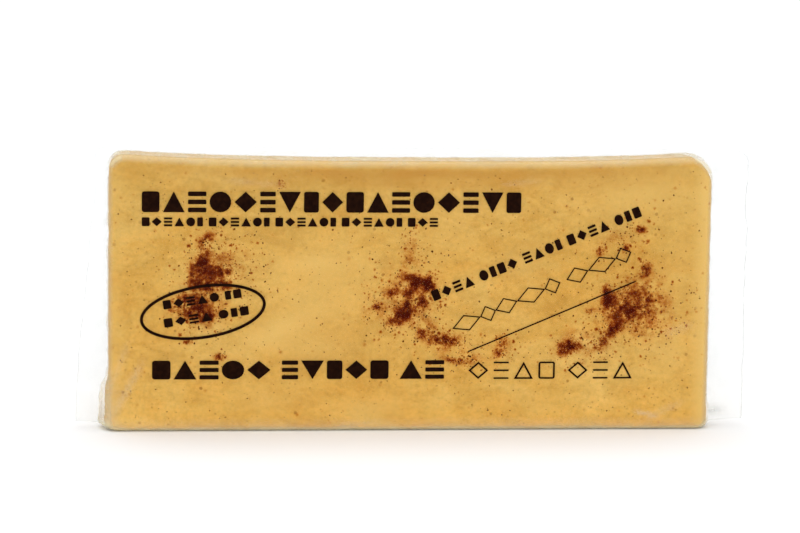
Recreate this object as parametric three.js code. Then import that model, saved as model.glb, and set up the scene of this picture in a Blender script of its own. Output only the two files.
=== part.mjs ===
// A bar of stone-ground almond nougat, vacuum packed in a clear film bag, standing on one long edge.
// The bag and the bar that it grips are one closed solid: a loft of closed loops that run round the bar.
// Millimetres, +Z up, the printed face looks along -Y. Origin: middle of the pack's base.
import * as THREE from "three";

// The moulded bar.
const bar = {
  length: 185,
  height: 85.5,
  depth: 16,
  topCorner: 7.2, // corner radii seen from the front
  rightFootCorner: 4,
  leftFootCorner: 2.5,
  topEdge: 2.4, // radii of the long soft edges between face and side
  footEdge: 2,
  topSag: 2.1, // how far the middle of the top edge sinks
  crown: 0.3, // how far each face bulges in the middle
  reliefInset: 14, // the crown and the dents have their full height from here inwards
};

// The flat margins of the bag, where the front and the back film meet halfway through the depth.
const margin = {
  leftAtTop: 4.5,
  leftAtFoot: 10,
  right: 13,
  aboveBar: 1.3, // the top seam stretches straight over the sunken top edge
  corner: 2.5,
  footLift: 2,
  thickness: 0.5,
  drawnIn: 0.6, // the seals at the ends shrink inwards by about this towards the top
};

// Where the film stands off the bar's ends and top instead of lying tight.
const tent = { end: 0.7, top: 0.4, fullFrom: 12 };
// Folded corners of film beside the foot.
const leftTuck = { reach: 3.1, widestFrom: 2, widestTo: 9, top: 17 };
const rightTuck = { reach: 1.6, widestFrom: 3, widestTo: 5, top: 10 };

// Unevenness is a sum of sines: radians for each unit across and up, a start angle, and a height in mm.
// The dents that pressing left in the faces. Their units are half the bar's length and half its height.
const dents = [
  { across: 3.1, up: 2.6, start: 1, height: 0.06 },
  { across: 3.1, up: -2.6, start: 1, height: 0.06 },
  { across: 7.3, up: -4.1, start: 2, height: 0.07 },
];
// Creases that run out to the seal, across the flat margins. Their unit is a millimetre.
const creases = [
  { across: 0, up: 0.483, start: 0, height: 0.42 },
  { across: 0.111, up: 0.822, start: 0, height: 0.21 },
];
// The wandering line of the seals at the ends. Its unit is the seal's height.
const wander = [
  { across: 0, up: 17, start: 0, height: 0.3 },
  { across: 0, up: 31, start: 2, height: 0.18 },
];

// How finely the loops are divided.
const steps = { corner: 6, ends: 14, longSides: 30, edge: 4, wall: 3, margin: 4 };
const leastCorner = 0.6; // keeps the innermost loops from collapsing in their corners
// How far in the loops of a face lie. The first is drawn onto the middle line.
const faceInsets = [bar.height / 2 - leastCorner, 34, 26, 19, 13, 8.5, 5];

const packLeft = -(bar.length + margin.leftAtFoot + margin.right) / 2;
const barLeft = packLeft + margin.leftAtFoot;
const barMiddle = barLeft + bar.length / 2;
const packRight = -packLeft;
const seamTop = bar.height + margin.aboveBar;
const halfDepth = bar.depth / 2;
const halfFilm = margin.thickness / 2;

const lerp = THREE.MathUtils.lerp;
const smooth = THREE.MathUtils.smoothstep;
const sumOf = (waves, x, z) =>
  waves.reduce((sum, wave) => sum + wave.height * Math.sin(wave.across * x + wave.up * z + wave.start), 0);

// Corners anticlockwise as seen from the front, each with the number of steps to the next one.
const corners = [
  { right: true, top: false, radius: bar.rightFootCorner, stepsAfter: steps.ends },
  { right: true, top: true, radius: bar.topCorner, stepsAfter: steps.longSides },
  { right: false, top: true, radius: bar.topCorner, stepsAfter: steps.ends },
  { right: false, top: false, radius: bar.leftFootCorner, stepsAfter: steps.longSides },
];

// Stations go once round the bar: shares of a corner's quarter turn, then shares of the straight after it.
const stations = corners.flatMap((corner, index) => {
  const turning = Array.from({ length: steps.corner + 1 }, (_, i) => ({
    index,
    turn: i / steps.corner,
    along: 0,
  }));
  const straight = Array.from({ length: corner.stepsAfter - 1 }, (_, i) => ({
    index,
    turn: 1,
    along: (i + 1) / corner.stepsAfter,
  }));
  return [...turning, ...straight];
});

const outwardAt = ({ index, turn }) => {
  const angle = (index - 1 + turn) * (Math.PI / 2);
  return new THREE.Vector2(Math.cos(angle), Math.sin(angle));
};

// A point of a rounded rectangle, at one station. radiusOf gives the radius of each corner.
function onRectangle(station, { left, right, foot, top }, radiusOf) {
  const cornerPoint = (index, turn) => {
    const corner = corners[index % corners.length];
    const radius = radiusOf(corner);
    const out = outwardAt({ index: index % corners.length, turn });
    return new THREE.Vector2(
      (corner.right ? right - radius : left + radius) + radius * out.x,
      (corner.top ? top - radius : foot + radius) + radius * out.y,
    );
  };
  const start = cornerPoint(station.index, station.turn);
  return station.along ? start.lerp(cornerPoint(station.index + 1, 0), station.along) : start;
}

// The bar's outline at a station, drawn in by inset, with the sunken top edge.
function onBar(station, inset) {
  const box = {
    left: barLeft + inset,
    right: barLeft + bar.length - inset,
    foot: inset,
    top: bar.height - inset,
  };
  const point = onRectangle(station, box, (corner) => Math.max(corner.radius - inset, leastCorner));
  const across = (point.x - barMiddle) / (bar.length / 2);
  point.y -= bar.topSag * (1 - Math.abs(across) ** 3) * (point.y / bar.height) ** 3;
  return point;
}

// The outer rim of the film margins at a station. Under the bar there is none, so it meets the bar's foot.
function onSeal(station) {
  const foot = onBar(station, 0);
  const side = corners[station.index];
  if (!side.top && !side.right && station.along) return foot;
  const rim = { left: packLeft, right: packRight, foot: margin.footLift, top: seamTop };
  const point = onRectangle(station, rim, () => margin.corner);
  const height = THREE.MathUtils.clamp((point.y - margin.footLift) / (seamTop - margin.footLift), 0, 1);
  const leftwards = (packRight - point.x) / (packRight - packLeft);
  point.x += leftwards * (margin.leftAtFoot - margin.leftAtTop) * smooth(height, 0, 1);
  const facingEnd = Math.abs(outwardAt(station).x);
  point.x -= Math.sign(point.x) * facingEnd * height * (margin.drawnIn + sumOf(wander, 0, height));
  if (side.top) return point;
  // Round a foot corner the rim runs back along the margin's lower edge to the bar.
  const back = side.right ? 1 - station.turn : station.turn;
  if (station.along || !back) return point;
  point.x = lerp(side.right ? packRight : packLeft, foot.x, back);
  point.y = margin.footLift * (1 - back ** 3);
  return point;
}

// How far a tuck stands out at a height above the base.
function tuckAt({ reach, widestFrom, widestTo, top }, height) {
  return reach * smooth(height, -widestFrom, widestFrom) * (1 - smooth(height, widestTo, top));
}

// How far the film stands off the bar's side, at a point of the outline and a depth from the middle.
function standOff(station, point, depth) {
  const out = outwardAt(station);
  const towardsFace = Math.min(Math.abs(depth) / halfDepth, 1);
  const ridge = (1 - towardsFace) ** 2;
  const bulge = Math.cos((towardsFace * Math.PI) / 2);
  const tuck = tuckAt(out.x < 0 ? leftTuck : rightTuck, point.y);
  return new THREE.Vector2(
    out.x * (tent.end * ridge * smooth(point.y, 0, tent.fullFrom) + tuck * bulge),
    Math.max(out.y, 0) * tent.top * ridge,
  );
}

// Low relief of a face: the crown and the dents.
function relief(point, inset) {
  const x = (point.x - barMiddle) / (bar.length / 2);
  const z = point.y / (bar.height / 2) - 1;
  const crown = bar.crown * (1 - x ** 2) * (1 - z ** 2);
  return (crown + sumOf(dents, x, z)) * smooth(inset, bar.topEdge, bar.reliefInset);
}

// The loops of one half, from the middle of its face to the seal. side is -1 in front and 1 behind.
function halfLoops(side) {
  const loops = faceInsets.map((inset, ring) =>
    stations.map((station) => {
      const point = onBar(station, inset);
      if (ring === 0) point.y = bar.height / 2;
      return new THREE.Vector3(point.x, side * (halfDepth + relief(point, inset)), point.y);
    }),
  );
  for (let i = 0; i <= steps.edge; i++) {
    const angle = (i / steps.edge) * (Math.PI / 2);
    loops.push(
      stations.map((station) => {
        const radius = lerp(bar.footEdge, bar.topEdge, smooth(onBar(station, 0).y, 0, bar.height));
        const point = onBar(station, radius * (1 - Math.sin(angle)));
        const depth = halfDepth - radius * (1 - Math.cos(angle));
        point.add(standOff(station, point, depth));
        return new THREE.Vector3(point.x, side * depth, point.y);
      }),
    );
  }
  for (let i = 1; i <= steps.wall; i++) {
    const depth = lerp(halfDepth - bar.topEdge, halfFilm, i / steps.wall);
    loops.push(
      stations.map((station) => {
        const point = onBar(station, 0);
        point.add(standOff(station, point, depth));
        return new THREE.Vector3(point.x, side * depth, point.y);
      }),
    );
  }
  const root = loops.at(-1);
  for (let i = 1; i <= steps.margin; i++) {
    const share = i / steps.margin;
    loops.push(
      stations.map((station, k) => {
        const seal = onSeal(station);
        const reach = new THREE.Vector2(root[k].x, root[k].z).distanceTo(seal);
        const fold = share * sumOf(creases, seal.x, seal.y) * smooth(reach, 0, margin.leftAtTop);
        const point = root[k].clone().lerp(new THREE.Vector3(seal.x, root[k].y, seal.y), share);
        return point.setY(side * halfFilm + fold);
      }),
    );
  }
  return loops;
}

// Joins the front and the back loops into one surface. The innermost loop of each face is drawn onto the
// face's middle line, so its upper and lower points meet there and close it.
function loft(loops) {
  const around = stations.length;
  const positions = loops.flat().flatMap((point) => point.toArray());
  const key = (index) => positions.slice(index * 3, index * 3 + 3).map((v) => v.toFixed(3)).join();
  const triangles = [];
  const addTriangle = (...corner) => {
    if (new Set(corner.map(key)).size === 3) triangles.push(...corner);
  };
  for (let ring = 0; ring < loops.length - 1; ring++)
    for (let i = 0; i < around; i++) {
      const [a, b] = [ring * around + i, ring * around + ((i + 1) % around)];
      addTriangle(a, a + around, b);
      addTriangle(b, a + around, b + around);
    }
  return new THREE.BufferGeometry()
    .setAttribute("position", new THREE.Float32BufferAttribute(positions, 3))
    .setIndex(triangles);
}

// Puts the middle of the base at the origin.
function standAtOrigin(geometry) {
  geometry.computeBoundingBox();
  const { min, max } = geometry.boundingBox;
  geometry.translate(-(min.x + max.x) / 2, -(min.y + max.y) / 2, -min.z);
  geometry.computeVertexNormals();
  return geometry;
}

const packedNougat = new THREE.MeshStandardMaterial({ color: "#dcae5c", roughness: 0.25, metalness: 0 });
const loops = [...halfLoops(-1), ...halfLoops(1).reverse()];
const pack = new THREE.Mesh(standAtOrigin(loft(loops)), packedNougat);
pack.name = "vacuum_bag";

export default new THREE.Group().add(pack);
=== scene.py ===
import math
import random

import bmesh
import bpy
import numpy
from mathutils import Matrix, Vector, noise


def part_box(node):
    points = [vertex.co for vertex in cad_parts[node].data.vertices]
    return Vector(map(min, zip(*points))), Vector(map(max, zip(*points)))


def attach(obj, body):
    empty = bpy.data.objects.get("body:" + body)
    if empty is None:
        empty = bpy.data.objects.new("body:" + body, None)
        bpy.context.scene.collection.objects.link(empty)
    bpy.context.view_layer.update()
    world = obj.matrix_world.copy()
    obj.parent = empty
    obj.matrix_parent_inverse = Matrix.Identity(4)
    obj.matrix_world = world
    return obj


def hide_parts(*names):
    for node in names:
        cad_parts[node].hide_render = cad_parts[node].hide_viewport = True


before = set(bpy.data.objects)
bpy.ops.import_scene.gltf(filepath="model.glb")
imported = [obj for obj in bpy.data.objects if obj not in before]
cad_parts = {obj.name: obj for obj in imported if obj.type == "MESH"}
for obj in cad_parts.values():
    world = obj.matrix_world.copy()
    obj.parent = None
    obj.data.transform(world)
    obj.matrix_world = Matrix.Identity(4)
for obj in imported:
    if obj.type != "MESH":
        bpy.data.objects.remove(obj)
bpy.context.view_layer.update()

# A block of ground almond nougat in a clear vacuum bag. Shapes are modelled in millimetres, in the
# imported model's own frame, and scaled to metres once, when their piece is made.

packLow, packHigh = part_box("vacuum_bag")
mm = 0.001


# Measures shared by the film and what it holds.
block = {
    "length": 185, "height": 85.5, "depth": 16,  # over the film
    "leftFoot": 2.5, "leftTop": 5,      # corner radii seen from the front
    "rightFoot": 2.7, "rightTop": 7.2,
    "rim": 2.4,         # radius of the soft edge round each face
    "nearFace": 0.5,    # this close to a face's plane, the rim counts as face
    "topSag": 2.1,      # how far the middle of the top edge sinks
    "crown": 0.3,       # how far each face bulges
    "relief": (2.5, 14),  # crown and dents grow over this way inwards
    "leftMargin": 10,   # the bag's left seal lies this far out at the foot
    "gap": 0.2,         # between the film's outside and the nougat
    "cornerSteps": 10, "rimSteps": 5,
}
dents = [  # soft waves that pressing leaves: radians across and up, start angle, height
    (3.1, 2.6, 1, 0.06),
    (3.1, -2.6, 1, 0.06),
    (7.3, -4.1, 2, 0.07),
]
pleats = [  # narrow folds of the film on both faces: from, to, width and height
    {"from": (-93, 4), "to": (-82, 25), "width": 1.1, "height": 0.16},
    {"from": (-94, 12), "to": (-87, 30), "width": 0.9, "height": 0.1},
    {"from": (67.5, 6.2), "to": (77, 4), "width": 0.6, "height": 0.32},
    {"from": (71, 3), "to": (86, 10), "width": 1.0, "height": 0.1},
    {"from": (-25, 1.5), "to": (-8, 3.2), "width": 0.7, "height": 0.12},
    {"from": (76, 30), "to": (88, 34), "width": 1.4, "height": 0.08},
    {"from": (24, 78), "to": (40, 79.5), "width": 0.8, "height": 0.08},
    {"from": (-60, 79), "to": (-38, 77.5), "width": 0.9, "height": 0.08},
]
pleatShape = {"reach": 3, "fullFrom": 0.25, "fullTo": 0.6}  # in widths and in lengths

blockLeft = packLow.x / mm + block["leftMargin"]
blockRight = blockLeft + block["length"]
blockMiddle = (blockLeft + blockRight) / 2
halfLength = block["length"] / 2
halfHeight = block["height"] / 2
halfDepth = block["depth"] / 2


def smooth(value, start, end):
    share = min(max((value - start) / (end - start), 0), 1)
    return share * share * (3 - 2 * share)


def mix(a, b, share):
    return a + (b - a) * share


def noiseAt(x, y, z):
    return noise.noise(Vector((x, y, z)))


def cornerRadius(x, z):
    side = "right" if x > blockMiddle else "left"
    return block[side + ("Top" if z > halfHeight else "Foot")]


# The nearest point of the outline less its corner radii, and the way out from it.
def cornerCentre(x, z):
    radius = cornerRadius(x, z)
    centreX = min(max(x, blockLeft + radius), blockRight - radius)
    centreZ = min(max(z, radius), block["height"] - radius)
    return Vector((centreX, centreZ)), Vector((x - centreX, z - centreZ))


# The way out of the block's side. Further in on a face it has no length.
def outwardAt(x, z):
    return cornerCentre(x, z)[1].normalized()


# How far inside the outline a point of a face lies.
def insideBy(x, z):
    out = cornerCentre(x, z)[1]
    radius = cornerRadius(x, z)
    if out.length > 1e-6:
        return radius - out.length
    return min(x - blockLeft, blockRight - x, z, block["height"] - z)


# From 0 on the block's sides to 1 on its faces.
def facingAt(y):
    return smooth(abs(y), halfDepth - block["rim"], halfDepth - block["nearFace"])


# From 1 halfway through the depth to 0 at the faces.
def bulgeAt(y):
    return math.cos(min(abs(y) / halfDepth, 1) * math.pi / 2)


def sagAt(x, z):
    across = (x - blockMiddle) / halfLength
    return block["topSag"] * (1 - abs(across) ** 3) * max(z / block["height"], 0) ** 3


# Crown and dents of a face.
def reliefAt(x, z):
    across = (x - blockMiddle) / halfLength
    up = z / halfHeight - 1
    relief = block["crown"] * (1 - across ** 2) * (1 - up ** 2)
    relief += sum(height * math.sin(a * across + b * up + start) for a, b, start, height in dents)
    return relief * smooth(insideBy(x, z), *block["relief"])


# Folds that lift the film off the nougat.
def pleatAt(x, z):
    lift = 0
    for pleat in pleats:
        start, end = Vector(pleat["from"]), Vector(pleat["to"])
        along = (Vector((x, z)) - start).dot(end - start) / (end - start).length_squared
        aside = (Vector((x, z)) - start.lerp(end, along)).length / pleat["width"]
        if aside < pleatShape["reach"]:
            rise = smooth(along, 0, pleatShape["fullFrom"])
            ends = rise * (1 - smooth(along, pleatShape["fullTo"], 1))
            lift += pleat["height"] * ends * math.exp(-aside ** 2)
    return lift


# The outside of the front film, as a depth from the middle plane.
def frontFilm(x, z):
    return halfDepth + reliefAt(x, z) + pleatAt(x, z)


def cutAcross(bm, axis, places):
    normal = Vector((0, 0, 0))
    normal[axis] = 1
    for place in places:
        bmesh.ops.bisect_plane(bm, geom=bm.verts[:] + bm.edges[:] + bm.faces[:], dist=0.002,
                               plane_co=normal * place, plane_no=normal)


def stepsBetween(start, end, step):
    count = max(round((end - start) / step), 1)
    return [mix(start, end, i / count) for i in range(count + 1)]


# A rounded slab the size of the block, drawn in all round by inset, and cut into cells.
# Its top corners, left and right, may be rounder than the film's.
def roundedSlab(inset, cell, depthCuts, rounder=(0, 0)):
    bm = bmesh.new()
    bmesh.ops.create_cube(bm, size=1)
    size = (block["length"] - 2 * inset, block["depth"] - 2 * inset, block["height"] - 2 * inset)
    bmesh.ops.scale(bm, vec=size, verts=bm.verts)
    bmesh.ops.translate(bm, vec=(blockMiddle, 0, halfHeight), verts=bm.verts)
    for edge in [e for e in bm.edges if e.verts[0].co.y * e.verts[1].co.y < 0]:
        middle = (edge.verts[0].co + edge.verts[1].co) / 2
        radius = cornerRadius(middle.x, middle.z) - inset
        if middle.z > halfHeight:
            radius += rounder[middle.x > blockMiddle]
        bmesh.ops.bevel(bm, geom=[edge], offset=radius, segments=block["cornerSteps"],
                        profile=0.5, affect="EDGES", material=-1, clamp_overlap=False)
    rim = [e for e in bm.edges if e.verts[0].co.y * e.verts[1].co.y > 0]
    bmesh.ops.bevel(bm, geom=rim, offset=block["rim"] - inset, segments=block["rimSteps"],
                    profile=0.5, affect="EDGES", material=-1, clamp_overlap=False)
    cutAcross(bm, 1, depthCuts)
    cutAcross(bm, 0, stepsBetween(blockLeft + block["rim"], blockRight - block["rim"], cell))
    cutAcross(bm, 2, stepsBetween(block["rim"], block["height"] - block["rim"], cell))
    bmesh.ops.remove_doubles(bm, verts=bm.verts, dist=0.01)
    return bm


def addObject(name, data):
    made = bpy.data.objects.new(name, data)
    bpy.context.scene.collection.objects.link(made)
    return made


def makePiece(name, bm, finish, sharpFrom=60):
    bmesh.ops.scale(bm, vec=(mm, mm, mm), verts=bm.verts)
    mesh = bpy.data.meshes.new(name)
    bm.to_mesh(mesh)
    bm.free()
    mesh.shade_smooth()
    mesh.set_sharp_from_angle(angle=math.radians(sharpFrom))
    mesh.materials.append(finish)
    piece = addObject(name, mesh)
    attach(piece, "root")
    return piece


def newMaterial(name):
    material = bpy.data.materials.new(name)
    material.use_nodes = True
    material.node_tree.nodes.clear()
    return material, material.node_tree.nodes, material.node_tree.links


def addNode(nodes, kind, inputs=None, **settings):
    made = nodes.new("ShaderNode" + kind)
    for setting, value in settings.items():
        setattr(made, setting, value)
    for socket, value in (inputs or {}).items():
        made.inputs[socket].default_value = value
    return made


def addRamp(nodes, links, factor, stops):
    ramp = addNode(nodes, "ValToRGB")
    elements = ramp.color_ramp.elements
    elements[0].position, elements[0].color = stops[0][0], (*stops[0][1], 1)
    elements[1].position, elements[1].color = stops[-1][0], (*stops[-1][1], 1)
    for position, colour in stops[1:-1]:
        elements.new(position).color = (*colour, 1)
    links.new(factor, ramp.inputs["Fac"])
    return ramp.outputs["Color"]


def grey(value):
    return (value, value, value)


def mixColours(nodes, links, factor, first, second, how="MIX"):
    made = addNode(nodes, "Mix", data_type="RGBA", blend_type=how)
    for socket, value in (("Factor", factor), ("A", first), ("B", second)):
        target = next(s for s in made.inputs if s.name == socket and s.enabled)
        if isinstance(value, bpy.types.NodeSocket):
            links.new(value, target)
        else:
            target.default_value = value if socket == "Factor" else (*value, 1)
    return next(s for s in made.outputs if s.enabled)


def mixShaders(nodes, links, factor, first, second):
    made = addNode(nodes, "MixShader")
    for index, socket in enumerate((factor, first, second)):
        links.new(socket, made.inputs[index])
    return made.outputs["Shader"]


# A factor from 0 to 1 that rises between two values of a socket.
def addRise(nodes, links, socket, start, end, peak=1):
    rise = addNode(nodes, "MapRange", {"From Min": start, "From Max": end, "To Max": peak},
                   interpolation_type="SMOOTHSTEP", clamp=True)
    links.new(socket, rise.inputs["Value"])
    return rise.outputs["Result"]


def addMath(nodes, links, how, first, second, clamped=False):
    made = addNode(nodes, "Math", operation=how, use_clamp=clamped)
    links.new(first, made.inputs[0])
    links.new(second, made.inputs[1])
    return made.outputs[0]


# The first socket times a weight, plus a socket or a number.
def addSum(nodes, links, first, weight, second):
    made = addNode(nodes, "Math", {1: weight}, operation="MULTIPLY_ADD")
    links.new(first, made.inputs[0])
    if isinstance(second, bpy.types.NodeSocket):
        links.new(second, made.inputs[2])
    else:
        made.inputs[2].default_value = second
    return made.outputs[0]


def addNoise(nodes, links, place, scale, detail=3, roughness=0.55, distortion=0):
    made = addNode(nodes, "TexNoise", {
        "Scale": scale, "Detail": detail, "Roughness": roughness, "Distortion": distortion})
    links.new(place, made.inputs["Vector"])
    return made.outputs["Fac"]


# Scattered cells: how far a place is from its cell's middle, and the cell's own random number.
def addCells(nodes, links, place, scale):
    cells = addNode(nodes, "TexVoronoi", {"Scale": scale, "Randomness": 1})
    links.new(place, cells.inputs["Vector"])
    pick = addNode(nodes, "SeparateColor")
    links.new(cells.outputs["Color"], pick.inputs["Color"])
    return cells.outputs["Distance"], pick.outputs["Red"]


# A number that was painted on a piece's points.
def addPainted(nodes, name):
    return addNode(nodes, "Attribute", attribute_name=name).outputs["Fac"]


def addBump(nodes, links, height, strength, distance):
    bump = addNode(nodes, "Bump", {"Strength": strength, "Distance": distance})
    links.new(height, bump.inputs["Height"])
    return bump.outputs["Normal"]


def addSkin(nodes, links, finish, colour, normal=None):
    skin = addNode(nodes, "BsdfPrincipled", finish)
    links.new(colour, skin.inputs["Base Color"])
    if normal:
        links.new(normal, skin.inputs["Normal"])
    return skin.outputs["BSDF"]


def addOutput(nodes, links, shader, kind="Material"):
    links.new(shader, addNode(nodes, "Output" + kind).inputs["Surface"])


nougatLook = {  # a noise is its scale, detail, roughness and distortion
    "kneading": {"Rotation": (0, 0.35, 0), "Scale": (0.68, 1, 1.15)},  # how the paste was drawn out
    "clouds": (34, 5, 0.6, 0.7),
    "cloudTones": [(0.3, (0.60, 0.325, 0.063)), (0.5, (0.65, 0.372, 0.082)),
                   (0.7, (0.705, 0.435, 0.115))],
    "honeyed": (62, 4, 0.65, 1.2),   # redder and greener parts
    "honeyedTints": [(0.36, (1.025, 0.985, 0.92)), (0.5, grey(1)), (0.64, (0.975, 1.005, 1.05))],
    "kneaded": (160, 4, 0.65, 0.8),  # darker and paler streaks
    "kneadedTints": [(0.34, (0.91, 0.88, 0.82)), (0.5, grey(1)), (0.66, (1.07, 1.09, 1.16))],
    "grain": (750, 4, 0.75),
    "grainTints": [(0.3, grey(0.87)), (0.5, grey(1)), (0.7, grey(1.07))],
    # painted light near the foot and painted shade near the top, by height
    "paintedLightByHeight": [(0, (1.13, 1.14, 1.12)), (0.28, grey(1)), (0.6, grey(1)), (1, (0.93, 0.955, 1))],
    "paleSmearAndRimLight": (0.75, 0.485, 0.145),   # where the paste is palest, in pale smears and in the painted light on its rims
    "oilyBandAndShadeTan": (0.51, 0.245, 0.046),  # the oily band under the top edge, also the painted shade on the ends' rims
    "speck": (0.28, 0.10, 0.015),    # crushed almond skin
    "specks": ((380, 0.86, 0.75), (620, 0.80, 0.45)),  # cells: scale, share left empty, strength
    "speckEdge": (0.26, 0.12),
    "bump": (0.35, 0.0001),
    "finish": {"Roughness": 0.55, "Subsurface Weight": 0.1, "Subsurface Scale": 0.001,
               "Specular IOR Level": 0.03},
}
soakedCinnamon = {
    "clumps": (330, 6, 0.7),
    "clumpRange": {"From Min": 0.36, "From Max": 0.64, "To Min": 0.2, "To Max": 1.6},
    "stained": (0.1, 1.5),           # the dust over which the stain thickens
    "crumbs": ((390, 0.34, 0.72), (640, 0.42, 0.7), (1150, 0.5, 0.62)),  # cells: scale, reach, strength
    "crumbCore": 0.02,
    "crumbRise": (1, 1.15),          # dust plus a cell's chance, for it to hold a crumb
    "ragged": {"Scale": 1300, "Detail": 2}, "raggedBy": 0.0009,
    "tones": [(0, grey(1)), (0.18, (0.80, 0.59, 0.46)), (0.38, (0.52, 0.25, 0.13)),
              (0.62, (0.29, 0.075, 0.02)), (1, (0.09, 0.009, 0.001))],  # from thin to thick
}


# Cinnamon that has soaked in: soft stains where it is thick, and crumbs that bleed.
def addCinnamonStains(nodes, links, place, colour):
    look = soakedCinnamon
    dust = addPainted(nodes, "dust")
    clumps = addNoise(nodes, links, place, *look["clumps"])
    patchy = addNode(nodes, "MapRange", look["clumpRange"])
    links.new(clumps, patchy.inputs["Value"])
    dusted = addMath(nodes, links, "MULTIPLY", patchy.outputs["Result"], dust)
    thick = addRise(nodes, links, dusted, *look["stained"])
    ragged = addNode(nodes, "TexNoise", look["ragged"])
    links.new(place, ragged.inputs["Vector"])
    torn = addNode(nodes, "VectorMath", {1: (look["raggedBy"],) * 3}, operation="MULTIPLY_ADD")
    links.new(ragged.outputs["Color"], torn.inputs[0])
    links.new(place, torn.inputs[2])
    for scale, reach, peak in look["crumbs"]:
        crumb, chance = addCells(nodes, links, torn.outputs["Vector"], scale)
        present = addRise(nodes, links, addSum(nodes, links, dust, 1, chance), *look["crumbRise"], peak)
        near = addRise(nodes, links, crumb, reach, look["crumbCore"])
        spot = addMath(nodes, links, "MULTIPLY", near, present)
        thick = addMath(nodes, links, "MAXIMUM", thick, spot)
    tint = addRamp(nodes, links, thick, look["tones"])
    return mixColours(nodes, links, 1.0, colour, tint, "MULTIPLY")


def nougatMaterial():
    look = nougatLook
    material, nodes, links = newMaterial("groundAlmondNougat")
    place = addNode(nodes, "TexCoord").outputs["Object"]
    kneading = addNode(nodes, "Mapping", look["kneading"])
    links.new(place, kneading.inputs["Vector"])
    drawnOut = kneading.outputs["Vector"]
    # soft clouds where the paste is richer or paler, and fine ground grain
    clouds = addNoise(nodes, links, drawnOut, *look["clouds"])
    colour = addRamp(nodes, links, clouds, look["cloudTones"])
    for pattern in ("honeyed", "kneaded", "grain"):
        height = addNoise(nodes, links, place if pattern == "grain" else drawnOut, *look[pattern])
        tint = addRamp(nodes, links, height, look[pattern + "Tints"])
        colour = mixColours(nodes, links, 1.0, colour, tint, "MULTIPLY")
    bumpy = addBump(nodes, links, height, *look["bump"])
    # crushed skins: a few small dark cells
    for scale, empty, peak in look["specks"]:
        speck, chance = addCells(nodes, links, place, scale)
        near = addRise(nodes, links, speck, *look["speckEdge"])
        chosen = addRise(nodes, links, chance, empty, 1, peak)
        share = addMath(nodes, links, "MULTIPLY", near, chosen)
        colour = mixColours(nodes, links, share, colour, look["speck"])
    # painted light and shade: paler towards the foot and duller towards the top
    split = addNode(nodes, "SeparateXYZ")
    links.new(place, split.inputs["Vector"])
    share = addSum(nodes, links, split.outputs["Z"], 1 / (block["height"] * mm), 0)
    tint = addRamp(nodes, links, share, look["paintedLightByHeight"])
    colour = mixColours(nodes, links, 1.0, colour, tint, "MULTIPLY")
    # pale smears with painted light on the rims, then the oily band with painted shade on the ends'
    # rims
    for painted, tone in (("paleSmearsAndPaintedRimLight", look["paleSmearAndRimLight"]), ("oilyBandAndPaintedShade", look["oilyBandAndShadeTan"])):
        colour = mixColours(nodes, links, addPainted(nodes, painted), colour, tone)
    colour = addCinnamonStains(nodes, links, place, colour)
    addOutput(nodes, links, addSkin(nodes, links, look["finish"], colour, bumpy))
    return material


filmLook = {
    "crinkle": (210, 3, 0.5, 0.4),
    "bump": (0.12, 0.00012),
    "clearTint": (0.985, 0.985, 0.98),
    "clingGloss": 0.002,  # shine head on, where the film clings to the oily face
    "slackGloss": 0.036,  # more than that where it stands off or is welded
    "edgeGloss": 0.7,     # more than that at a grazing angle
    "edgePower": 5,
    "glossRoughness": 0.11,
    "streaks": [(0.35, grey(0.8)), (0.65, grey(1.1))],
    "milk": (0.66, 0.69, 0.67), "cream": (0.84, 0.765, 0.50),  # by itself and over nougat
    "milkFinish": {"Roughness": 0.35, "Specular IOR Level": 0.3},
}


def filmMaterial():
    look = filmLook
    material, nodes, links = newMaterial("clearFilm")
    place = addNode(nodes, "TexCoord").outputs["Object"]
    crinkle = addNoise(nodes, links, place, *look["crinkle"])
    bumpy = addBump(nodes, links, crinkle, *look["bump"])
    clear = addNode(nodes, "BsdfTransparent", {"Color": (*look["clearTint"], 1)})
    gloss = addNode(nodes, "BsdfGlossy", {"Color": (1, 1, 1, 1), "Roughness": look["glossRoughness"]})
    links.new(bumpy, gloss.inputs["Normal"])
    # the same shine from inside and outside, as thin film has
    headOn = addSum(nodes, links, addPainted(nodes, "slack"), look["slackGloss"], look["clingGloss"])
    aslant = addNode(nodes, "LayerWeight", {"Blend": 0.5})
    links.new(bumpy, aslant.inputs["Normal"])
    grazing = addNode(nodes, "Math", {1: look["edgePower"]}, operation="POWER")
    links.new(aslant.outputs["Facing"], grazing.inputs[0])
    shine = addSum(nodes, links, grazing.outputs[0], look["edgeGloss"], headOn)
    sheen = mixShaders(nodes, links, shine, clear.outputs["BSDF"], gloss.outputs["BSDF"])
    # milky where the film stands off, folds or is welded, and painted sheen, highlights and floor
    # reflection where its rims, top corners, pleats and foot catch light
    streaks = addRamp(nodes, links, crinkle, look["streaks"])
    haze = addMath(nodes, links, "MULTIPLY", addPainted(nodes, "haze"), streaks, clamped=True)
    tone = mixColours(nodes, links, addPainted(nodes, "overNougat"), look["milk"], look["cream"])
    milk = addSkin(nodes, links, look["milkFinish"], tone, bumpy)
    addOutput(nodes, links, mixShaders(nodes, links, haze, sheen, milk))
    return material


# A dry mottled finish for grains and flakes.
grainLook = {
    "noise": (2, 0.6), "from": 0.38, "to": 0.64, "bump": (0.4, 0.00005),
    "finish": {"Roughness": 0.8, "Specular IOR Level": 0.03},
}
inkLook = {
    "noise": (700, 3, 0.6),
    "tones": [(0.4, (0.008, 0.002, 0.0008)), (0.75, (0.02, 0.006, 0.002))],
    "finish": {"Roughness": 0.5, "Specular IOR Level": 0.02},
}


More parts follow.
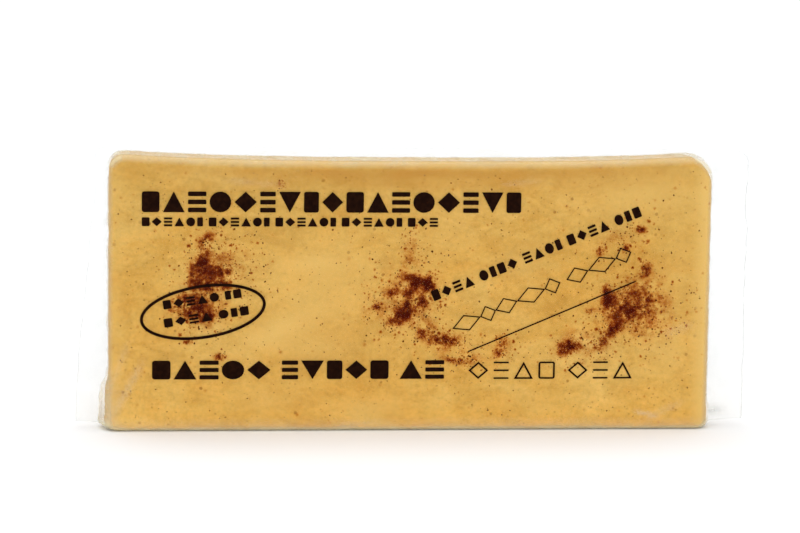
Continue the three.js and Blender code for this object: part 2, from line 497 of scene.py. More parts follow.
def grainMaterial(name, dark, light, scale):
    look = grainLook
    material, nodes, links = newMaterial(name)
    place = addNode(nodes, "TexCoord").outputs["Object"]
    mottle = addNoise(nodes, links, place, scale, *look["noise"])
    colour = addRamp(nodes, links, mottle, [(look["from"], dark), (look["to"], light)])
    bumpy = addBump(nodes, links, mottle, *look["bump"])
    addOutput(nodes, links, addSkin(nodes, links, look["finish"], colour, bumpy))
    return material


def inkMaterial():
    material, nodes, links = newMaterial("filmInk")
    place = addNode(nodes, "TexCoord").outputs["Object"]
    colour = addRamp(nodes, links, addNoise(nodes, links, place, *inkLook["noise"]), inkLook["tones"])
    addOutput(nodes, links, addSkin(nodes, links, inkLook["finish"], colour))
    return material


# Where the film stands off the block's ends and top, and its small folds there.
tent = {
    "leftEnd": 0.25, "rightEnd": 0.7, "top": 0.4,
    "from": 12,           # the ends stand off fully from this height up
    "lowerRight": 0.4,    # the right end's lower half is that much fuller
    "lowerTo": (30, 60),
    "wave": 0.2, "waveSize": (4.2, 11, 4.2),
    "fold": 0.27, "foldWidth": 0.24, "fineFolds": 0.5,
    "wavesFrom": 3,       # waves and folds are full from this height up
    "wavesOnTop": 0.5,
}
# The folded corners beside the foot: widest near the floor, narrower upwards, ending in a notch.
leftTuck = {"reach": 3.1, "widestFrom": 2, "narrowing": 0.5, "narrowOver": 15, "notch": (13, 17)}
rightTuck = {"reach": 1.6, "widestFrom": 3, "narrowing": 0.5, "narrowOver": 8, "notch": (5, 10)}


def tuckAt(tuck, height):
    lower = smooth(height, -tuck["widestFrom"], tuck["widestFrom"])
    above = min(max(height - tuck["widestFrom"], 0) / tuck["narrowOver"], 1)
    narrowed = 1 - tuck["narrowing"] * above
    return tuck["reach"] * lower * narrowed * (1 - smooth(height, *tuck["notch"]))


# How far a folded corner of film beside the foot stands out, along x.
def tuckedAt(x, y, z):
    return outwardAt(x, z).x * tuckAt(leftTuck if x < blockMiddle else rightTuck, z) * bulgeAt(y)


# Sharp little folds through the depth where the film is drawn together, from 0 to 1.
def foldAt(x, y, z):
    coarse = noiseAt(x / 6.5 + y / 30, y / 18, z / 6.5)
    fine = noiseAt(x / 3 + 5, y / 13, z / 3 - y / 25)
    ridges = [max(1 - abs(wave) / tent["foldWidth"], 0) for wave in (coarse, fine)]
    return min(ridges[0] + tent["fineFolds"] * ridges[1], 1)


# How far the film stands off the side of the block, along x and up.
def standOff(x, y, z):
    out = outwardAt(x, z)
    ridge = (1 - min(abs(y) / halfDepth, 1)) ** 2
    wide, run, high = tent["waveSize"]
    wrinkle = tent["wave"] * noiseAt(x / wide, y / run, z / high)
    wrinkle = (wrinkle + tent["fold"] * foldAt(x, y, z)) * bulgeAt(y) * smooth(z, 0, tent["wavesFrom"])
    reach = tent["leftEnd" if x < blockMiddle else "rightEnd"]
    lower = tent["lowerRight"] * (1 - smooth(z, *tent["lowerTo"])) if x > blockMiddle else 0
    end = out.x * (reach * ridge * smooth(z, 0, tent["from"]) + lower + wrinkle)
    top = max(out.y, 0) * (tent["top"] * ridge + tent["wavesOnTop"] * wrinkle)
    return end + tuckedAt(x, y, z), top


nougat = {
    "cell": 0.85,
    "depthCuts": (-4, -1.5, 1.5, 4),
    "rounder": (1, 2.3),  # how much rounder its top corners are than the film's, left and right
    "squeezed": 0.78,     # how far it has swelled into the film's folds and tents
    "intoTuck": 0.45,     # and into the folded corners beside the foot
    "lumps": 0.045, "pores": 0.03, "lumpSize": 5.5, "poreSize": 1.6,
    "paleEnds": (0.5, 7), "paleTop": (0.5, 2.5),  # how far in the painted light on its rims reaches
    # how pale that painted light makes each rim
    "leftPale": 0.35, "rightPale": 0.95, "topPale": 0.5,
    "paintedEndShade": 0.45,     # painted shade: how dark its ends are beyond the rims
    "paintedShadeFrom": (0.3, 1),
}
oilyBand = {  # the darker band under the top edge, by the way down from it
    "starts": (1.5, 3.5), "strength": 0.85,
    "thins": ((0.4, 4.2, 6), (0.45, 7, 11)),
    "halfLength": 62,
    "even": 0.95, "blotchy": 0.5,
}

# Where the cinnamon fell: centre across and up, reach along and across its tilt, tilt, strength.
cinnamonHeaps = [
    # left, down into the stamp
    (-64, 60, 2.5, 1.5, 40, 0.8), (-65.5, 54.5, 4, 1.5, 95, 0.9), (-67, 50, 3.5, 2, 70, 1.1),
    (-60, 50, 3.5, 2.5, 0, 0.75), (-62.5, 45.5, 5.5, 2, -5, 0.8), (-70, 40, 5, 3, 15, 1.0),
    (-66, 36, 4.5, 2, 5, 1.0), (-70, 28, 1.5, 1, 0, 0.9), (-60, 23.5, 2, 1.5, 20, 1.0),
    # the dark smear in the middle
    (-0.5, 47, 3, 2.5, 0, 1.0), (4, 46, 3, 2, 70, 0.95), (-2, 42, 2, 1.5, 100, 0.7),
    (1.5, 40.5, 1.5, 1.5, 0, 0.9), (-4.5, 36.5, 5.5, 2, 40, 1.2), (-7.5, 43.5, 2, 1.5, 0, 0.6),
    (-12, 39, 1.5, 1, 0, 0.7),
    # its tail, down to the right
    (3.5, 30.5, 2.5, 1.5, -10, 1.1), (9, 28.5, 4, 1.5, 0, 1.05), (13, 22, 3, 1, -10, 0.95),
    (26.5, 28, 1.5, 1.5, 0, 0.95), (26, 24.5, 1.5, 1, 0, 0.8),
    # right
    (68.5, 63.5, 2, 1, -20, 1.0), (64, 57.5, 1.5, 1, 0, 0.9), (56.5, 56.5, 1.5, 1, 60, 0.8),
    (70.5, 50.5, 2, 1.5, 60, 1.05), (59, 42, 4, 1.5, 95, 1.0), (66, 38.5, 5.5, 4.5, 0, 0.7),
    (60.5, 31.5, 2.5, 2, 30, 1.05), (57.5, 27, 2.5, 1.5, 50, 0.9), (53.5, 37.5, 1.5, 1, 0, 0.6),
    (46.5, 26, 2.5, 2, 40, 1.2), (49, 27, 2, 1, -10, 0.9),
    # thin dust round each of them
    (-62, 52, 9, 9, 0, 0.42), (-66, 37, 8, 7, 0, 0.34), (-52, 50, 8, 8, 0, 0.12),
    (-2, 42, 9, 11, 40, 0.42), (-13, 37, 5, 5, 0, 0.2), (10, 28, 9, 4, -20, 0.4),
    (27, 26, 4, 4, 0, 0.36), (14, 22, 7, 2, 0, 0.34), (62, 60, 9, 6, 30, 0.27),
    (65, 39, 10, 9, 0, 0.44), (72, 44, 9, 10, 0, 0.2), (50, 28, 8, 5, 20, 0.3),
    (56, 22, 9, 3, 0, 0.16), (-1.5, 57, 4, 6, 0, 0.32), (-42, 78, 1, 2, 0, 0.6),
    (74, 34, 7, 8, 0, 0.22),
]
dusting = {"everywhere": 0.06, "most": 1.4}
# Where the paste was smeared paler, given in the same way. The back has them too.
paleSmears = [
    (-28, 44, 17, 17, 0, 0.45), (-44, 31, 12, 4, 25, 0.7), (-30, 53, 12, 3, 0, 0.35),
    (-33, 26, 12, 5, 0, 0.35), (-14, 7, 12, 4, 5, 0.5), (-44, 10, 14, 5, 0, 0.3),
    (8, 62, 8, 6, 60, 0.3), (32, 53, 10, 6, 20, 0.35), (70, 75, 22, 8, 0, 0.55),
    (82, 50, 8, 16, 0, 0.3), (79, 24, 6, 9, 20, 0.4), (40, 9, 20, 4, 0, 0.2),
]


# How strong soft patches are at many places at once.
def patchesAt(patches, x, z):
    total = numpy.zeros(len(x))
    for centreX, centreZ, along, aside, tilt, strength in patches:
        turn = math.radians(tilt)
        u = ((x - centreX) * math.cos(turn) + (z - centreZ) * math.sin(turn)) / along
        v = ((z - centreZ) * math.cos(turn) - (x - centreX) * math.sin(turn)) / aside
        total += strength * numpy.exp(-(u * u + v * v))
    return total


def lumpsAt(point):
    lumps = noise.noise(point / nougat["lumpSize"]) * nougat["lumps"]
    return lumps + noise.noise(point / nougat["poreSize"] + Vector((9, 4, 2))) * nougat["pores"]


def bandAt(x, z, facing):
    below = block["height"] - z
    strength = oilyBand["strength"]
    for loss, start, end in oilyBand["thins"]:
        strength -= loss * smooth(below, start, end)
    strength *= smooth(below, *oilyBand["starts"])
    strength *= math.exp(-((x / oilyBand["halfLength"]) ** 2))
    blotches = noiseAt(x / 14, 0, z / 5)
    return strength * (facing * (oilyBand["even"] + oilyBand["blotchy"] * blotches))


# Painted light: how pale the paste is made at the rims of its ends and its top, where light and the
# film's sheen catch the rounded edges.
def paintedRimLightAt(x, z):
    atEnds = 1 - smooth(halfLength - abs(x - blockMiddle), *nougat["paleEnds"])
    atTop = 1 - smooth(block["height"] - z, *nougat["paleTop"])
    return nougat["rightPale" if x > 0 else "leftPale"] * atEnds, nougat["topPale"] * atTop


def makeNougat():
    bm = roundedSlab(block["gap"], nougat["cell"], nougat["depthCuts"], nougat["rounder"])
    bm.normal_update()
    dust = bm.verts.layers.float.new("dust")
    paleSmearsAndPaintedRimLight = bm.verts.layers.float.new("paleSmearsAndPaintedRimLight")
    oilyBandAndPaintedShade = bm.verts.layers.float.new("oilyBandAndPaintedShade")
    across, depth, up = numpy.array([vert.co[:] for vert in bm.verts]).T
    fallen = dusting["everywhere"] + patchesAt(cinnamonHeaps, across, up)
    fallen = numpy.minimum(fallen, dusting["most"])
    smeared = patchesAt(paleSmears, numpy.where(depth < 0, across, -across), up)
    for vert, thick, pale in zip(bm.verts, fallen, smeared):
        x, y, z = vert.co
        facing = facingAt(y)
        endPale, topPale = paintedRimLightAt(x, z)
        # pale smears, plus painted light on the rims
        vert[paleSmearsAndPaintedRimLight] = min(pale + endPale + topPale, 1)
        vert[dust] = thick if y < 0 and facing > 0 else dusting["everywhere"]
        # painted shade on the outer rims of the ends, and the oily band under the top edge
        atEnd = abs(outwardAt(x, z).x) * (1 - smooth(insideBy(x, z), *nougat["paintedShadeFrom"]))
        vert[oilyBandAndPaintedShade] = max(bandAt(x, z, facing), nougat["paintedEndShade"] * atEnd)
        vert.co += vert.normal * lumpsAt(vert.co)
        end, top = standOff(x, y, z)
        tuck = tuckedAt(x, y, z)
        vert.co.x += (nougat["squeezed"] * (end - tuck) + nougat["intoTuck"] * tuck) * (1 - facing)
        vert.co.z += nougat["squeezed"] * top * (1 - facing)
        vert.co.y += math.copysign(reliefAt(x, z) * facing, y)
        vert.co.z -= sagAt(x, z)
    piece = makePiece("nougatBar", bm, nougatMaterial())
    print("nougat bar modelled:", len(piece.data.polygons), "faces")


film = {
    "cell": 1.0,
    "depthCuts": (1, 2, 3.5, 5),  # on both sides of the middle
    "thickness": 0.24,     # the two films of a margin, face to face
    "leftAtTop": 4.5,      # how far out the left seal lies at the top
    "aboveBar": 1.3,       # how far up the top seam lies
    "squareness": 7,       # how square the margin's corners are
    "footLift": 2,         # how far the margins stay off the floor
    "drawnIn": 0.6,        # how far the end seals shrink inwards towards the top
    "marginSteps": 9, "stepGrowth": 1.6, "cutFrom": 0.97,
    "regular": 0.45,       # share of the margins' even creases
    "crumple": 0.55,       # height of their uneven waves
    "fineCrumple": 0.35,
    "pleatSlack": 5,
}
creases = [  # across the margins: radians a millimetre across and up, start angle, height
    (0, 0.483, 0, 0.42),
    (0.111, 0.822, 0, 0.21),
    (0.35, 1.7, 1.2, 0.04),
]
# The wandering line of the end seals: radians a height, start angle, reach.
wander = [(17, 0, 0.3), (31, 2, 0.18), (67, 1, 0.12)]
sealTop = block["height"] + film["aboveBar"]

milkyAndPaintedSheen = {  # how milky the film is, from 0 to 1, and how far in from the outline that fades; rims, top corners, foot and pleats hold painted sheen, highlights and reflection
    # painted sheen on the end rims, milky film on the end walls and their folds
    "paintedEndRimSheen": 0.3, "endWall": 0.06, "endFold": 0.27, "endsIn": (0.1, 1.7),
    # painted sheen along the top rim
    "paintedTopRimSheen": 0.3, "topRimIn": (0.7, 2.5),
    "top": 0.1, "topMiddle": 0.1, "topFold": 0.25, "topBlotches": 0.5,
    # painted highlight at the top corners
    "topCorner": 0.3, "cornerIn": (0.3, 2.6), "cornerFrom": (0.1, 0.4),
    "foot": ((0.42, 0.2, 2.2), (0.18, 1, 5)),  # painted reflection of the floor at the foot: share, and the heights over which it fades
    "tuck": 0.2, "tuckIn": (5, 0.5),
    # painted highlight along the pleats
    "pleat": 0.9,
    "most": 0.6,
    "margin": 0.04, "marginRoot": 0.06, "cutEdge": 0.45,
}
# Film gathered at the lower corner of the right margin.
gathered = {"out": 4, "up": 4.5, "wide": 2.6, "high": 1.5, "haze": 0.3}


# The margin's outer edge, for a point of the block's outline.
def sealAt(x, z):
    centre, out = cornerCentre(x, z)
    isLeft = x < blockMiddle
    packEnd = (packLow.x if isLeft else packHigh.x) / mm
    # below the bar there is no margin, so round the foot corners it runs back to the bar
    if z < cornerRadius(x, z) and abs(out.x) > 1e-6 or z < 0.01:
        back = math.atan2(max(-out.y, 0), abs(out.x)) / (math.pi / 2) if out.length > 1e-6 else 1
        return mix(packEnd, x, smooth(back, 0, 1)), film["footLift"] * (1 - back ** 3)
    out.normalize()
    sealX = packEnd
    height = min(max((z - film["footLift"]) / (sealTop - film["footLift"]), 0), 1)
    if isLeft:
        sealX += (block["leftMargin"] - film["leftAtTop"]) * smooth(height, 0, 1)
    waves = sum(reach * math.sin(turns * height + start) for turns, start, reach in wander)
    sealX -= math.copysign(height * (film["drawnIn"] + waves), sealX)
    reachX, reachZ = abs(sealX - centre.x), sealTop - centre.y
    power = film["squareness"]
    reach = ((abs(out.x) / reachX) ** power + (abs(out.y) / reachZ) ** power) ** (-1 / power)
    return centre.x + out.x * reach, centre.y + out.y * reach


def creaseAt(x, z):
    regular = sum(height * math.sin(a * x + b * z + start) for a, b, start, height in creases)
    broad = noiseAt(x / 9, 3, z / 5.5)
    narrow = noiseAt(x / 4, 7, z / 2.4)
    return film["regular"] * regular + film["crumple"] * (broad + film["fineCrumple"] * narrow)


# How milky the film is over the bar, with painted sheen on its end and top rims, painted highlights at
# its top corners and along its pleats, and a painted reflection of the floor at its foot.
def hazeAndPaintedSheenAt(x, y, z, pleat):
    inside, out = insideBy(x, z), outwardAt(x, z)
    facing = facingAt(y)
    side = 1 - facing
    folded = foldAt(x, y, z) * side
    upper = smooth(z, halfHeight, sealTop)
    # painted sheen on the end rims, milky film on the end walls and folds
    ends = mix(milkyAndPaintedSheen["paintedEndRimSheen"], milkyAndPaintedSheen["endWall"], side) + milkyAndPaintedSheen["endFold"] * folded
    ends = ends * (1 - smooth(inside, *milkyAndPaintedSheen["endsIn"])) * abs(out.x)
    middle = 1 - min(abs(y) / halfDepth, 1)
    blotch = 1 + milkyAndPaintedSheen["topBlotches"] * noiseAt(x / 13, y / 8, z / 5)
    # painted sheen along the top rim
    paintedTopRimSheen = milkyAndPaintedSheen["paintedTopRimSheen"] * (1 - smooth(inside, *milkyAndPaintedSheen["topRimIn"])) * upper
    topWall = milkyAndPaintedSheen["top"] + milkyAndPaintedSheen["topMiddle"] * middle + milkyAndPaintedSheen["topFold"] * folded
    top = blotch * max(out.y, 0) * mix(paintedTopRimSheen, topWall, side)
    # painted reflection of the floor at the foot
    foot = sum(share * (1 - smooth(z, start, end)) for share, start, end in milkyAndPaintedSheen["foot"])
    # painted highlight at the top corners
    corner = smooth(abs(out.x * out.y), *milkyAndPaintedSheen["cornerFrom"]) * (1 - smooth(inside, *milkyAndPaintedSheen["cornerIn"]))
    corner = milkyAndPaintedSheen["topCorner"] * (corner * upper) * facing
    tuck = tuckAt(leftTuck, z) / leftTuck["reach"] if x < blockMiddle else 0
    farIn, nearEnd = milkyAndPaintedSheen["tuckIn"]
    tuck *= smooth(abs(x - blockMiddle), halfLength - farIn, halfLength - nearEnd)
    # the pleats carry a painted highlight
    haze = ends + top + foot + corner + milkyAndPaintedSheen["tuck"] * tuck + milkyAndPaintedSheen["pleat"] * pleat
    return min(haze, milkyAndPaintedSheen["most"])


def makeFilm():
    halfFilm = film["thickness"] / 2
    cuts = film["depthCuts"]
    bm = roundedSlab(0, film["cell"], [-cut for cut in reversed(cuts)] + [-halfFilm, halfFilm, *cuts])
    names = ("haze", "overNougat", "slack", "rootX", "rootZ", "rootSide")
    layers = [bm.verts.layers.float.new(name) for name in names]
    haze, overNougat, slack, rootX, rootZ, rootSide = layers
    for vert in bm.verts:
        x, y, z = vert.co
        vert[rootX], vert[rootZ], vert[rootSide], vert[overNougat] = x, z, math.copysign(1, y), 1
        facing = facingAt(y)
        side = 1 - facing
        pleat = pleatAt(x, z) if y < 0 else pleatAt(-x, z)
        vert[slack] = max(side, min(pleat * film["pleatSlack"], 1))
        vert[haze] = hazeAndPaintedSheenAt(x, y, z, pleat)
        end, top = standOff(x, y, z)
        vert.co.x += end * side
        vert.co.z += top * side - sagAt(x, z)
        vert.co.y += math.copysign((reliefAt(x, z) + pleat) * facing, y)
    strip = [f for f in bm.faces if all(abs(v.co.y) < halfFilm + 0.01 for v in f.verts)
             and any(v[rootZ] > 0.02 for v in f.verts)]
    # the margins grow outwards from the walls, and the last step is the narrow cut edge
    for step in range(1, film["marginSteps"] + 1):
        made = bmesh.ops.extrude_face_region(bm, geom=strip, use_keep_orig=True)["geom"]
        bmesh.ops.delete(bm, geom=strip, context="FACES")
        strip = [f for f in made if isinstance(f, bmesh.types.BMFace)]
        isCut = step == film["marginSteps"]
        grown = (step / (film["marginSteps"] - 1)) ** film["stepGrowth"]
        share = 1 if isCut else film["cutFrom"] * grown
        for vert in [v for v in made if isinstance(v, bmesh.types.BMVert)]:
            x, z = vert[rootX], vert[rootZ]
            end, top = standOff(x, 0, z)
            root = Vector((x + end, z + top - sagAt(x, z)))
            seal = Vector(sealAt(x, z))
            point = root.lerp(seal, share)
            free = smooth((seal - root).length, 0, film["leftAtTop"])
            fold = creaseAt(point.x, point.y) * share * free
            vert.co = (point.x, vert[rootSide] * halfFilm + fold, point.y)
            vert[overNougat], vert[slack] = 0, 1
            vert[haze] = milkyAndPaintedSheen["margin"] + milkyAndPaintedSheen["marginRoot"] * (1 - share) ** 2
            if isCut:
                vert[haze] += milkyAndPaintedSheen["cutEdge"]
            across = (point.x - blockRight - gathered["out"]) / gathered["wide"]
            up = (point.y - gathered["up"]) / gathered["high"]
            vert[haze] += gathered["haze"] * math.exp(-across ** 2 - up ** 2)
    bmesh.ops.remove_doubles(bm, verts=bm.verts, dist=0.004)
    bmesh.ops.dissolve_degenerate(bm, edges=bm.edges, dist=0.002)
    bmesh.ops.recalc_face_normals(bm, faces=bm.faces)
    piece = makePiece("vacuumFilm", bm, filmMaterial())
    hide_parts("vacuum_bag")
    print("film modelled:", len(piece.data.polygons), "faces")


cinnamon = {
    "grains": 1500, "spread": 0.7, "smallest": 0.13, "largest": 0.4, "mostlySmall": 1.9,
    "loose": 500, "looseLargest": 0.7, "looseInset": 4, "looseMostlySmall": 3,
    "flatness": 0.16, "seed": 11,
    "dark": (0.05, 0.007, 0.001), "light": (0.23, 0.05, 0.007), "mottle": 800,
}
skins = {
    "count": 700, "smallest": 0.14, "largest": 0.38, "mostlySmall": 2, "inset": 3,
    "flatness": 0.1, "seed": 23,
    "dark": (0.12, 0.038, 0.008), "light": (0.33, 0.13, 0.025), "mottle": 500,
}
flake = {"shapes": 10, "knobbly": (0.6, 1.15), "narrowest": 0.55, "thickness": 0.6, "lift": 0.3}


# A few knobbly flakes of unit size, to be scaled and scattered.
def flakeShapes(draw):
    shapes = []
    for _ in range(flake["shapes"]):
        bm = bmesh.new()
        bmesh.ops.create_icosphere(bm, subdivisions=1, radius=1)
        for vert in bm.verts:
            vert.co *= draw.uniform(*flake["knobbly"])
        points = numpy.array([vert.co[:] for vert in bm.verts])
        corners = numpy.array([[vert.index for vert in face.verts] for face in bm.faces])
        shapes.append((points, corners))
        bm.free()
    return shapes


# Joins flakes that lie pressed between the nougat and the film. A spot is x, z, size and front or back.
def scatterFlakes(name, draw, spots, flatness, finish):
    shapes = flakeShapes(draw)
    points, corners, count = [], [], 0
    for x, z, size, front in spots:
        shape, faces = draw.choice(shapes)
        turn = draw.uniform(0, math.tau)
        wide = size * shape[:, 0]
        narrow = size * draw.uniform(flake["narrowest"], 1) * shape[:, 2]
        depth = halfDepth - block["gap"] + reliefAt(x, z) + flatness * flake["lift"]
        deep = shape[:, 1] * min(size * flake["thickness"], flatness / 2) + depth
        made = numpy.stack([x + wide * math.cos(turn) - narrow * math.sin(turn),
                            -deep if front else deep,
                            z - sagAt(x, z) + wide * math.sin(turn) + narrow * math.cos(turn)], axis=1)
        points.append(made)
        corners.append(faces + count)
        count += len(made)
    mesh = bpy.data.meshes.new(name)
    mesh.from_pydata(numpy.concatenate(points).tolist(), [], numpy.concatenate(corners).tolist())
    bm = bmesh.new()
    bm.from_mesh(mesh)
    bpy.data.meshes.remove(mesh)
    bmesh.ops.recalc_face_normals(bm, faces=bm.faces)
    makePiece(name, bm, finish)
    print(name, "scattered:", len(spots))


# A place anywhere on a face, some way in from its edges.
def anywhere(draw, inset):
    x = draw.uniform(blockLeft + inset, blockRight - inset)
    return x, draw.uniform(inset, block["height"] - inset)


def makeCinnamon():
    draw = random.Random(cinnamon["seed"])
    weights = [along * aside * strength for _, _, along, aside, _, strength in cinnamonHeaps]
    spots = []
    for _ in range(cinnamon["grains"]):
        centreX, centreZ, along, aside, tilt, _ = draw.choices(cinnamonHeaps, weights)[0]
        turn = math.radians(tilt)
        u = draw.gauss(0, cinnamon["spread"]) * along
        v = draw.gauss(0, cinnamon["spread"]) * aside
        x = centreX + u * math.cos(turn) - v * math.sin(turn)
        z = centreZ + u * math.sin(turn) + v * math.cos(turn)
        size = mix(cinnamon["smallest"], cinnamon["largest"], draw.random() ** cinnamon["mostlySmall"])
        spots.append((x, z, size, True))
    largest = cinnamon["largest"] * cinnamon["looseLargest"]
    for _ in range(cinnamon["loose"]):
        x, z = anywhere(draw, cinnamon["looseInset"])
        size = mix(cinnamon["smallest"], largest, draw.random() ** cinnamon["looseMostlySmall"])
        spots.append((x, z, size, True))
    finish = grainMaterial("groundCinnamon", cinnamon["dark"], cinnamon["light"], cinnamon["mottle"])
    scatterFlakes("cinnamonGrains", draw, spots, cinnamon["flatness"], finish)


def makeSkins():
    draw = random.Random(skins["seed"])
    spots = []
    for index in range(skins["count"]):
        size = mix(skins["smallest"], skins["largest"], draw.random() ** skins["mostlySmall"])
        spots.append((*anywhere(draw, skins["inset"]), size, index % 2 == 0))
    finish = grainMaterial("almondSkin", skins["dark"], skins["light"], skins["mottle"])
    scatterFlakes("almondSkinSpecks", draw, spots, skins["flatness"], finish)


# The print is rows of plain marks and rules. A mark is its kind and width.
ink = {"thickness": 0.03, "lift": 0.035}
mark = {
    "bar": 0.22, "barRounding": 0.2,  # of the mark's height, and of the bar's
    "squareRounding": 0.14, "discSides": 22,
    "wordGap": 0.4,  # of the row's height
}
boldMarks = [("square", 5.2), ("peak", 6.4), ("bars", 5.4), ("disc", 6.3), ("lozenge", 6.6),
             ("bars", 4.6), ("valley", 6.4), ("square", 4.4), ("lozenge", 6.2)]
smallMarks = [("square", 2.3), ("lozenge", 3.0), ("bars", 2.5), ("peak", 2.9), ("disc", 2.6),
              ("square", 1.7)]
thinMarks = [("lozenge", 5.6), ("bars", 4.2), ("peak", 5.4), ("square", 4.6)]
linkedMarks = [("lozenge", 9), ("lozenge", 5), ("lozenge", 7)]
stamp = {"centre": (-65.3, 37.3), "half": (19.3, 8.3), "tilt": 9, "line": 0.9, "segments": 96}
prints = {
    "headingPrint": [
        {"marks": boldMarks, "at": (-83.9, 67.9), "length": 115.5, "height": 6.3, "gap": 1.0,
         "word": 40},
        {"marks": smallMarks, "at": (-83.9, 63.6), "length": 90, "height": 2.7, "gap": 0.65,
         "word": 6},
    ],
    "footPrint": [
        {"marks": boldMarks, "at": (-80.7, 16.4), "length": 89.5, "height": 5.8, "gap": 0.9,
         "word": 5},
        {"marks": thinMarks, "at": (16.3, 16.3), "length": 51, "height": 5.4, "gap": 1.5,
         "word": 4, "line": 0.5},
    ],
    "slantedPrint": [
        {"marks": smallMarks, "at": (5.4, 40.6), "length": 69, "height": 3.3, "gap": 0.8,
         "word": 4, "tilt": 22.5},
        {"marks": linkedMarks, "at": (12.1, 29.6), "length": 60, "height": 5.2, "gap": -0.25,
         "word": 5, "tilt": 23.5, "line": 0.34},
        {"marks": [("rule", 56)], "at": (16.2, 24.7), "length": 56, "height": 0.4, "gap": 0,
         "word": 9, "tilt": 23},
    ],
    "stampPrint": [
        {"marks": smallMarks, "at": (-77.2, 38.0), "length": 24, "height": 2.7, "gap": 0.7,
         "word": 5, "tilt": stamp["tilt"]},
        {"marks": smallMarks, "at": (-76.9, 32.4), "length": 26, "height": 2.7, "gap": 0.7,
         "word": 4, "tilt": stamp["tilt"]},
    ],
}
upright = Matrix.Rotation(math.pi / 2, 4, "X")


# A flat patch in the XZ plane, later draped on the film.
def addPatch(bm, width, height, rounding=0.0, segments=1):
    made = bmesh.ops.create_grid(bm, x_segments=segments, y_segments=1, size=0.5, matrix=upright)
    made = made["verts"]
    bmesh.ops.scale(bm, vec=(width, 1, height), verts=made)
    if rounding:
        made = bmesh.ops.bevel(bm, geom=made, offset=rounding, segments=3, profile=0.5,
                               affect="VERTICES", material=-1)["verts"]
    return made


# A flat shape of so many sides, fitted to a size round the origin.
def addShape(bm, sides, width, height):
    made = bmesh.ops.create_circle(bm, cap_ends=True, radius=1, segments=sides, matrix=upright)
    made = made["verts"]
    for axis, size in ((0, width), (2, height)):
        low = min(vert.co[axis] for vert in made)
        high = max(vert.co[axis] for vert in made)
        for vert in made:
            vert.co[axis] = (vert.co[axis] - (low + high) / 2) * size / (high - low)
    return made


# Leaves only a line along a shape's edge.
def punch(bm, verts, line):
    faces = list({face for vert in verts for face in vert.link_faces})
    made = bmesh.ops.inset_region(bm, faces=faces, thickness=line, use_even_offset=True,
                                  use_boundary=True)["faces"]
    bmesh.ops.delete(bm, geom=faces, context="FACES_ONLY")
    return list({vert for face in made for vert in face.verts})


def addMark(bm, kind, width, height, line):
    if kind == "rule":
        return addPatch(bm, width, height, segments=int(width))
    if kind == "bars":
        thick = line or height * mark["bar"]
        made = []
        for up in (-1, 0, 1):
            verts = addPatch(bm, width, thick, thick * mark["barRounding"])
            bmesh.ops.translate(bm, vec=(0, 0, up * (height - thick) / 2), verts=verts)
            made += verts
        return made
    if kind == "square":
        made = addPatch(bm, width, height, min(width, height) * mark["squareRounding"])
    else:
        made = addShape(bm, {"disc": mark["discSides"], "lozenge": 4}.get(kind, 3), width, height)
    if kind == "valley":
        bmesh.ops.rotate(bm, matrix=Matrix.Rotation(math.pi, 3, "Y"), verts=made)
    return punch(bm, made, line) if line else made


# Tilts marks about the origin and moves them to their place.
def layDown(bm, verts, at, tilt):
    placed = Matrix.Translation((at[0], 0, at[1]))
    placed @= Matrix.Rotation(-math.radians(tilt), 4, "Y")
    bmesh.ops.transform(bm, matrix=placed, verts=verts)


# Sets a row of marks side by side, stretches it to its length and lays it down.
def addRow(bm, row):
    x, index, made = 0, 0, []
    while True:
        kind, width = row["marks"][index % len(row["marks"])]
        if x + width > row["length"] + 0.01:
            break
        verts = addMark(bm, kind, width, row["height"], row.get("line"))
        bmesh.ops.translate(bm, vec=(x + width / 2, 0, row["height"] / 2), verts=verts)
        made += verts
        index += 1
        x += width + row["gap"]
        if index % row["word"] == 0:
            x += row["height"] * mark["wordGap"]
    reached = max(vert.co.x for vert in made)
    bmesh.ops.scale(bm, vec=(row["length"] / reached, 1, 1), verts=made)
    layDown(bm, made, row["at"], row.get("tilt", 0))


def addRing(bm):
    halfWidth, halfTall = stamp["half"]
    ring = punch(bm, addShape(bm, stamp["segments"], 2 * halfWidth, 2 * halfTall), stamp["line"])
    layDown(bm, ring, stamp["centre"], stamp["tilt"])


# Drapes the flat marks on the film and gives them their thickness.
def makePrints():
    finish = inkMaterial()
    for name, rows in prints.items():
        bm = bmesh.new()
        for row in rows:
            addRow(bm, row)
        if name == "stampPrint":
            addRing(bm)
        for vert in bm.verts:
            vert.co.y = -frontFilm(vert.co.x, vert.co.z) - ink["lift"]
        made = bmesh.ops.extrude_face_region(bm, geom=bm.faces[:], use_keep_orig=True)["geom"]
        raised = [v for v in made if isinstance(v, bmesh.types.BMVert)]
        bmesh.ops.translate(bm, vec=(0, -ink["thickness"], 0), verts=raised)
        bmesh.ops.recalc_face_normals(bm, faces=bm.faces)
        makePiece(name, bm, finish, sharpFrom=30)
    print("print laid on the film")


studio = {
    "floor": 30,
    "floorFinish": {"Base Color": (0.925, 0.935, 0.95, 1), "Roughness": 0.9,
                    "Specular IOR Level": 0.1},
    "sky": [(0.15, grey(1)), (0.6, grey(0.42))],  # brightest near the horizon
    "overheadSoftbox": {"towards": (0.03, -0.1, -1), "spread": 58, "strength": 1.85},
    "frontSoftbox": {"towards": (0.04, 1, -0.45), "spread": 45, "strength": 0.72},
}
view = {  # metres, millimetres of lens and sensor, degrees
    "aim": (-0.0053, -0.008, 0.0513), "distance": 0.9, "lens": 132.6, "sensor": 36,
    "azimuth": -5.5, "pitch": 8.8, "roll": 0.88,
}


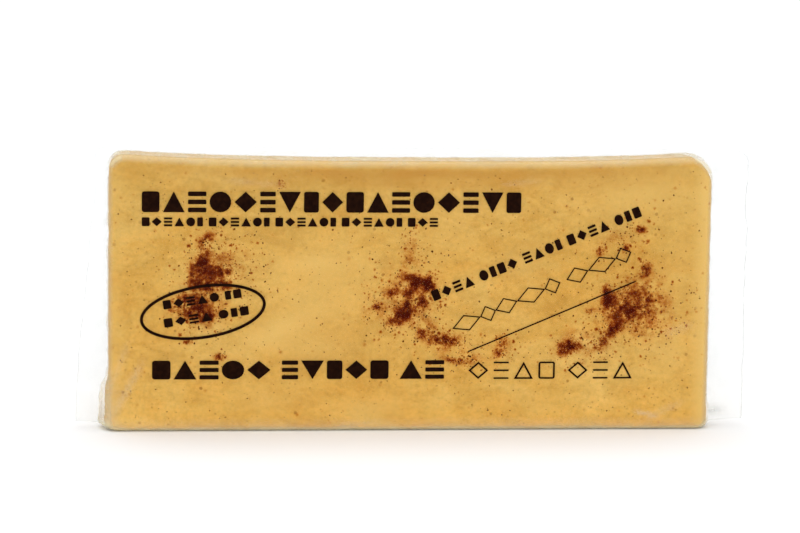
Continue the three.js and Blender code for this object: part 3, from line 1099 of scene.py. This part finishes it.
# A far softbox: a sun so wide that its shadows are soft.
def addSoftbox(name):
    box = studio[name]
    lamp = bpy.data.lights.new(name, "SUN")
    lamp.energy, lamp.angle = box["strength"], math.radians(box["spread"])
    light = addObject(name, lamp)
    light.rotation_euler = Vector(box["towards"]).to_track_quat("-Z", "Y").to_euler()


def makeStudio():
    bm = bmesh.new()
    bmesh.ops.create_grid(bm, x_segments=8, y_segments=8, size=studio["floor"] / 2)
    mesh = bpy.data.meshes.new("floor")
    bm.to_mesh(mesh)
    bm.free()
    floor = addObject("floor", mesh)
    material, nodes, links = newMaterial("paleFloor")
    skin = addNode(nodes, "BsdfPrincipled", studio["floorFinish"])
    addOutput(nodes, links, skin.outputs["BSDF"])
    mesh.materials.append(material)

    world = bpy.data.worlds.new("studio")
    bpy.context.scene.world = world
    world.use_nodes = True
    nodes, links = world.node_tree.nodes, world.node_tree.links
    nodes.clear()
    height = addNode(nodes, "SeparateXYZ")
    links.new(addNode(nodes, "TexCoord").outputs["Generated"], height.inputs["Vector"])
    background = addNode(nodes, "Background")
    links.new(addRamp(nodes, links, height.outputs["Z"], studio["sky"]), background.inputs["Color"])
    addOutput(nodes, links, background.outputs["Background"], "World")
    addSoftbox("overheadSoftbox")
    addSoftbox("frontSoftbox")
    bpy.context.scene.view_settings.view_transform = "Standard"
    print("studio lit")


def makeCamera():
    lens = bpy.data.cameras.new("camera")
    lens.lens, lens.sensor_width = view["lens"], view["sensor"]
    lens.clip_start = 0.05
    camera = addObject("camera", lens)
    turned = Matrix.Rotation(math.radians(view["azimuth"]), 3, "Z")
    turned @= Matrix.Rotation(math.radians(90 - view["pitch"]), 3, "X")
    camera.location = Vector(view["aim"]) + turned @ Vector((0, 0, view["distance"]))
    camera.rotation_euler = (turned @ Matrix.Rotation(math.radians(view["roll"]), 3, "Z")).to_euler()
    bpy.context.scene.camera = camera
    print("camera placed")


makeCamera()
makeStudio()
makeNougat()
makeCinnamon()
makeSkins()
makeFilm()
makePrints()
